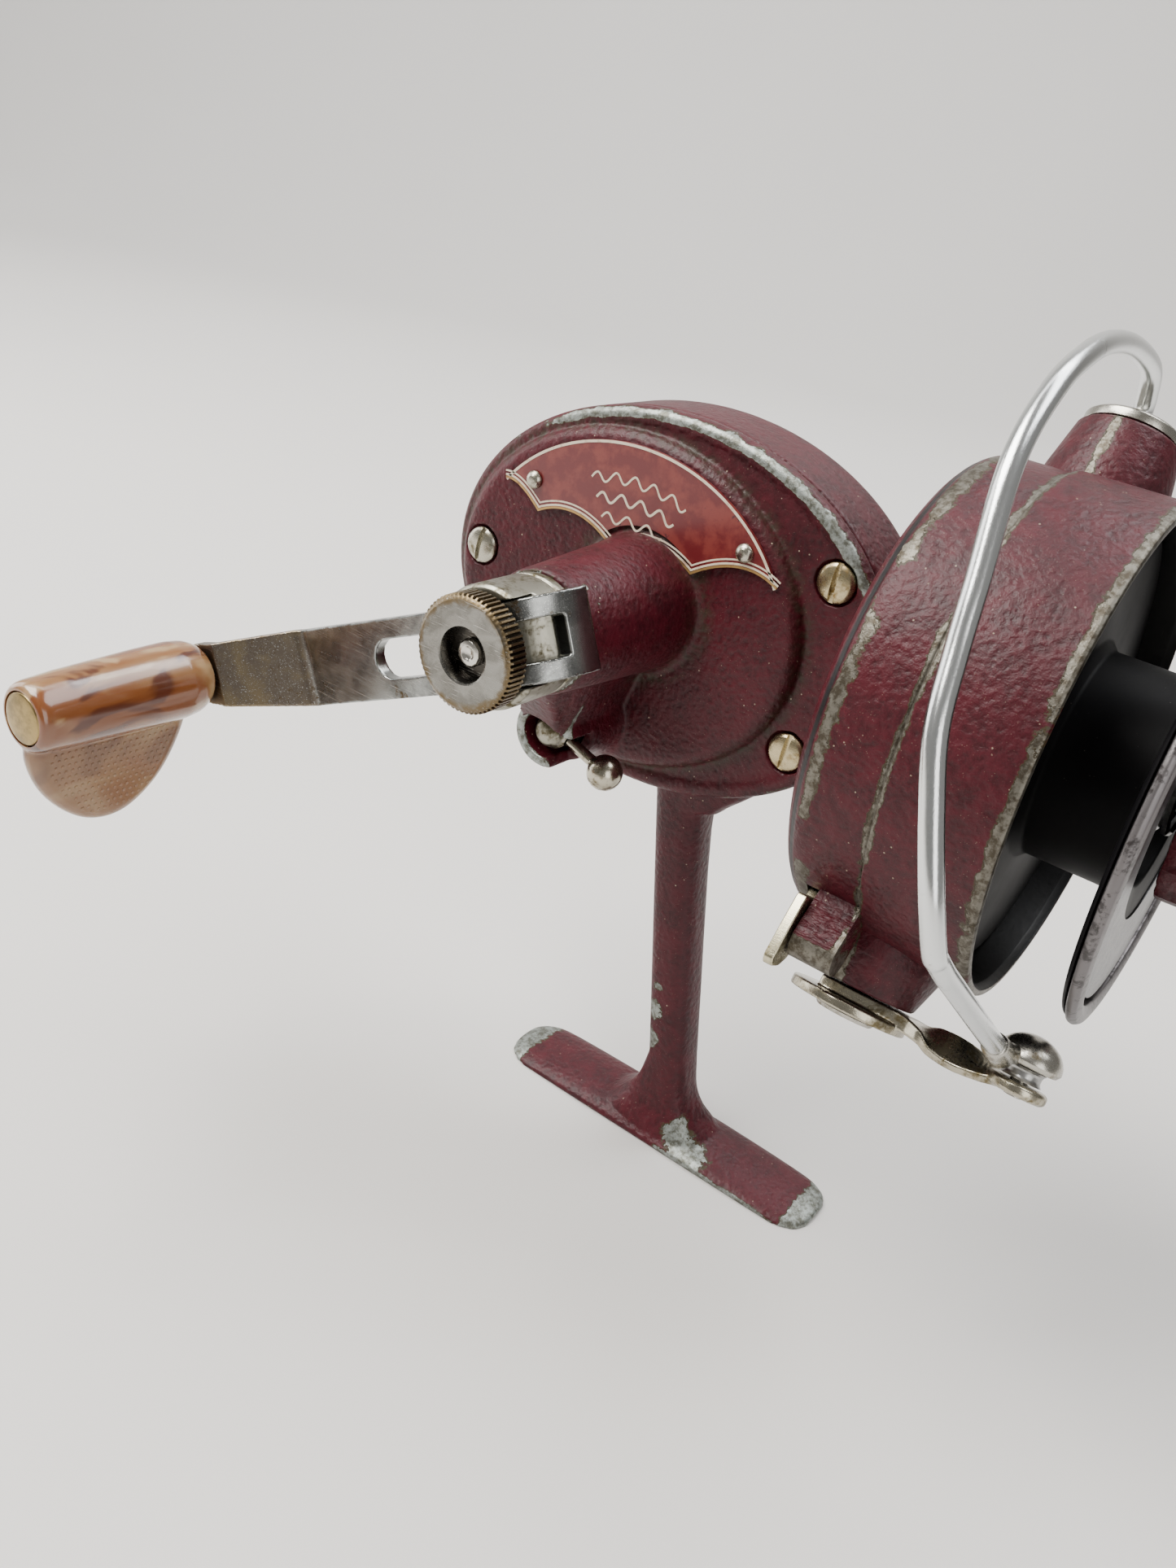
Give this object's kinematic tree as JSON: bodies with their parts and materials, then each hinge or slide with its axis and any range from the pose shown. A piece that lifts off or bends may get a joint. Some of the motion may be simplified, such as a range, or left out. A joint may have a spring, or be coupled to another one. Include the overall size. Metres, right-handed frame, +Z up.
{
  "type": "spinning fishing reel",
  "caption": "Spinning reel: oval gear housing on a stem and foot, folding side crank with a paddle knob, rotor cup with a wire bail, fixed spool and front drag knob.",
  "frame": {"origin": "middle of the foot's flat underside, where it meets the rod", "axes": "+X forward along the spool axis towards the drag knob, -Y towards the crank and its handle, +Z up the stem away from the rod"},
  "size_m": [0.1497, 0.1184, 0.147],
  "materials": {
    "maroon_paint": "maroon pebbled paint over cast light alloy, chipped to bare metal at edges",
    "nickel": "nickel plate with a yellow patina and pits",
    "steel": "bright steel",
    "brass": "machined brass",
    "bare_alloy": "bare worn alloy lip",
    "black_plastic": "gloss black moulded plastic",
    "marbled_plastic": "gloss cream and brown marbled plastic",
    "red_enamel": "red enamelled plate with a cream border line",
    "fibre": "oiled fibre washer"
  },
  "bodies": {
    "housing": {"body_housing": "maroon_paint", "side_cover": "maroon_paint", "cover_screw_rear": "nickel", "cover_screw_front_top": "nickel", "cover_screw_front_bottom": "nickel", "name_plate": "red_enamel", "plate_rivet_rear": "nickel", "plate_rivet_front": "nickel", "crank_bush_outer": "brass", "crank_bush_inner": "brass", "front_bush": "brass", "guide_rod": "steel"},
    "crank": {"crank_shaft": "nickel", "handle_stud": "nickel", "drive_gear": "brass", "ratchet_wheel": "steel", "oscillation_pin": "steel"},
    "thumb_nut": {"handle_nut": "nickel"},
    "arm": {"crank_arm": "nickel", "knob_spindle": "brass"},
    "knob": {"handle_knob": "marbled_plastic"},
    "rotor": {"rotor_cup": "maroon_paint", "pinion": "brass", "rotor_nut": "brass", "bail_pivot_screw": "nickel", "bail_spring": "steel", "trip_pin": "nickel"},
    "trip": {"trip_lever": "nickel"},
    "bail": {"bail_wire": "nickel", "bail_cap": "nickel", "bail_arm": "nickel", "roller_post": "nickel"},
    "roller": {"line_roller": "steel"},
    "shaft": {"main_shaft": "steel", "crosshead": "steel", "crosshead_screw": "steel", "spool_cross_pin": "steel", "drag_washer_metal": "steel", "drag_spring": "steel"},
    "spool": {"spool": "black_plastic", "spool_rim_ring": "bare_alloy", "drag_washer_fibre": "fibre"},
    "drag": {"drag_knob": "maroon_paint", "drag_nut_insert": "brass"},
    "lever": {"anti_reverse_spindle": "nickel", "anti_reverse_lever": "nickel", "anti_reverse_pawl": "steel"}
  },
  "joints": [
    {"name": "crank_turn", "type": "hinge", "parent": "housing", "child": "crank", "pos_m": [-0.021, 0, 0.0943], "axis": [0, 1, 0], "continuous": true},
    {"name": "rotor_turn", "type": "hinge", "parent": "housing", "child": "rotor", "pos_m": [0.033, 0, 0.0943], "axis": [1, 0, 0], "continuous": true},
    {"name": "spool_slide", "type": "slide", "parent": "housing", "child": "shaft", "axis": [1, 0, 0], "range_m": [-0.0095, 0.0015]},
    {"name": "spool_turn", "type": "hinge", "parent": "shaft", "child": "spool", "pos_m": [0.05, 0, 0.0943], "axis": [1, 0, 0], "continuous": true},
    {"name": "drag_knob_turn", "type": "hinge", "parent": "shaft", "child": "drag", "pos_m": [0.068, 0, 0.0943], "axis": [1, 0, 0], "range_deg": [-180, 540]},
    {"name": "bail_swing", "type": "hinge", "parent": "rotor", "child": "bail", "pos_m": [0.033, 0, 0.0943], "axis": [0, 0.5, 0.866], "range_deg": [0, 100]},
    {"name": "line_roller_spin", "type": "hinge", "parent": "bail", "child": "roller", "pos_m": [0.0572, -0.0202, 0.05931], "axis": [0, -0.5, -0.866], "continuous": true},
    {"name": "trip_lever_swing", "type": "hinge", "parent": "rotor", "child": "trip", "pos_m": [0.0254, -0.03095, 0.06833], "axis": [1, 0, 0], "range_deg": [-4, 4]},
    {"name": "anti_reverse_swing", "type": "hinge", "parent": "housing", "child": "lever", "pos_m": [-0.0249, -0.0186, 0.0738], "axis": [0, 1, 0], "range_deg": [0, 32]},
    {"name": "arm_fold", "type": "hinge", "parent": "crank", "child": "arm", "pos_m": [-0.021, -0.0346, 0.0943], "axis": [-0.4305, 0, 0.9026], "range_deg": [-45, 0]},
    {"name": "thumb_nut_turn", "type": "hinge", "parent": "crank", "child": "thumb_nut", "pos_m": [-0.021, -0.0478, 0.0943], "axis": [0, 1, 0], "range_deg": [0, 720]},
    {"name": "knob_spin", "type": "hinge", "parent": "arm", "child": "knob", "pos_m": [-0.0655, -0.068, 0.0754], "axis": [0, 1, 0], "continuous": true}
  ],
  "couplings": [
    {"joint": "rotor_turn", "follows": "crank_turn", "ratio": 3.2}
  ]
}
